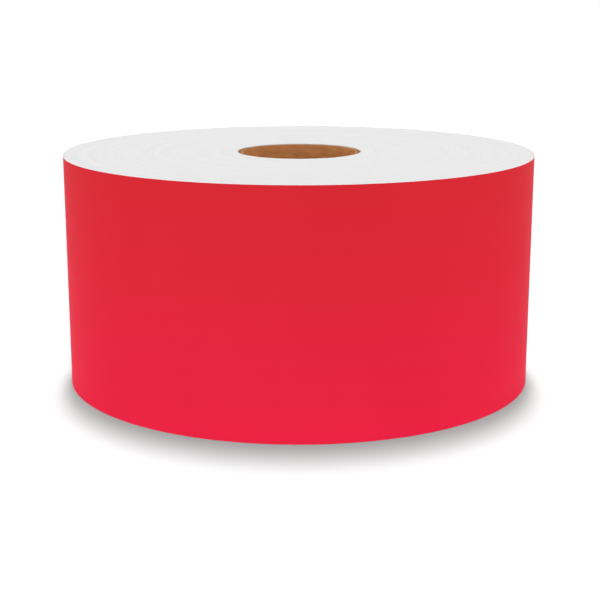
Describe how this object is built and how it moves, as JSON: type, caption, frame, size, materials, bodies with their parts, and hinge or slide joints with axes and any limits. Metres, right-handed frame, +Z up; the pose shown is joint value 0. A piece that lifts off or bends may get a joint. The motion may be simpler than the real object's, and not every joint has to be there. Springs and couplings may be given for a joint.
{
  "type": "sign vinyl roll",
  "caption": "Narrow roll of self-adhesive sign vinyl on a cardboard core, with a tail that unwinds, a film end that peels from its liner and a closing tab.",
  "frame": {"origin": "centre of the roll's bottom end, on the axis of its core", "axes": "+Z up along the core's axis; the web's outer end lies 45 degrees from +X towards +Y, on the back, and +Y points to the back"},
  "size_m": [0.1038, 0.104, 0.0508],
  "materials": {
    "vinyl": "satin",
    "wound_edges": "matte",
    "liner": "satin",
    "core_board": "matte",
    "closing_tape": "matte",
    "starter_tape": "matte"
  },
  "bodies": {
    "roll": {"core_inner_ply": "core_board", "core_body_ply_1": "core_board", "core_body_ply_2": "core_board", "core_outer_ply": "core_board", "starter_tape": "starter_tape", "wound_turns": "wound_edges", "outer_turn_liner": "liner", "outer_turn_film": "vinyl"},
    "tail_1": {"tail_liner_1": "liner", "tail_film_1": "vinyl"},
    "tail_2": {"tail_liner_2": "liner", "tail_film_2": "vinyl"},
    "tail_3": {"tail_liner_3": "liner", "tail_film_3": "vinyl"},
    "tail_4": {"tail_liner_4": "liner", "tail_film_4": "vinyl"},
    "tail_5": {"tail_liner_5": "liner", "tail_film_5": "vinyl"},
    "tail_6": {"tail_liner_6": "liner", "tail_film_6": "vinyl"},
    "tail_7": {"tail_liner_7": "liner", "tail_film_7": "vinyl"},
    "tail_8": {"tail_liner_8": "liner", "tail_film_8": "vinyl"},
    "tail_9": {"tail_liner_9": "liner", "tail_film_9": "vinyl"},
    "film_end": {"film_end": "vinyl", "closing_tab_stuck_half": "closing_tape"},
    "closing_tab": {"closing_tab_free_half": "closing_tape"}
  },
  "joints": [
    {"name": "tail_1_unwind", "type": "hinge", "parent": "roll", "child": "tail_1", "pos_m": [-0.0426, 0.02983, 0], "axis": [0, 0, 1], "range_deg": [0, 10]},
    {"name": "tail_2_unwind", "type": "hinge", "parent": "tail_1", "child": "tail_2", "pos_m": [-0.03677, 0.03677, 0], "axis": [0, 0, 1], "range_deg": [0, 10]},
    {"name": "tail_3_unwind", "type": "hinge", "parent": "tail_2", "child": "tail_3", "pos_m": [-0.02983, 0.0426, 0], "axis": [0, 0, 1], "range_deg": [0, 10]},
    {"name": "tail_4_unwind", "type": "hinge", "parent": "tail_3", "child": "tail_4", "pos_m": [-0.02198, 0.04713, 0], "axis": [0, 0, 1], "range_deg": [0, 10]},
    {"name": "tail_5_unwind", "type": "hinge", "parent": "tail_4", "child": "tail_5", "pos_m": [-0.01346, 0.05023, 0], "axis": [0, 0, 1], "range_deg": [0, 10]},
    {"name": "tail_6_unwind", "type": "hinge", "parent": "tail_5", "child": "tail_6", "pos_m": [-0.00453, 0.0518, 0], "axis": [0, 0, 1], "range_deg": [0, 10]},
    {"name": "tail_7_unwind", "type": "hinge", "parent": "tail_6", "child": "tail_7", "pos_m": [0.00453, 0.0518, 0], "axis": [0, 0, 1], "range_deg": [0, 10]},
    {"name": "tail_8_unwind", "type": "hinge", "parent": "tail_7", "child": "tail_8", "pos_m": [0.01346, 0.05023, 0], "axis": [0, 0, 1], "range_deg": [0, 10]},
    {"name": "tail_9_unwind", "type": "hinge", "parent": "tail_8", "child": "tail_9", "pos_m": [0.02198, 0.04713, 0], "axis": [0, 0, 1], "range_deg": [0, 10]},
    {"name": "film_peel", "type": "hinge", "parent": "tail_9", "child": "film_end", "pos_m": [0.02865, 0.0434, 0], "axis": [0, 0, 1], "range_deg": [0, 110]},
    {"name": "tab_peel", "type": "hinge", "parent": "film_end", "child": "closing_tab", "pos_m": [0.03685, 0.03685, 0], "axis": [0, 0, 1], "range_deg": [0, 90]}
  ],
  "couplings": [
    {"joint": "tail_2_unwind", "follows": "tail_1_unwind", "ratio": 1},
    {"joint": "tail_3_unwind", "follows": "tail_1_unwind", "ratio": 1},
    {"joint": "tail_4_unwind", "follows": "tail_1_unwind", "ratio": 1},
    {"joint": "tail_5_unwind", "follows": "tail_1_unwind", "ratio": 1},
    {"joint": "tail_6_unwind", "follows": "tail_1_unwind", "ratio": 1},
    {"joint": "tail_7_unwind", "follows": "tail_1_unwind", "ratio": 1},
    {"joint": "tail_8_unwind", "follows": "tail_1_unwind", "ratio": 1},
    {"joint": "tail_9_unwind", "follows": "tail_1_unwind", "ratio": 1}
  ]
}
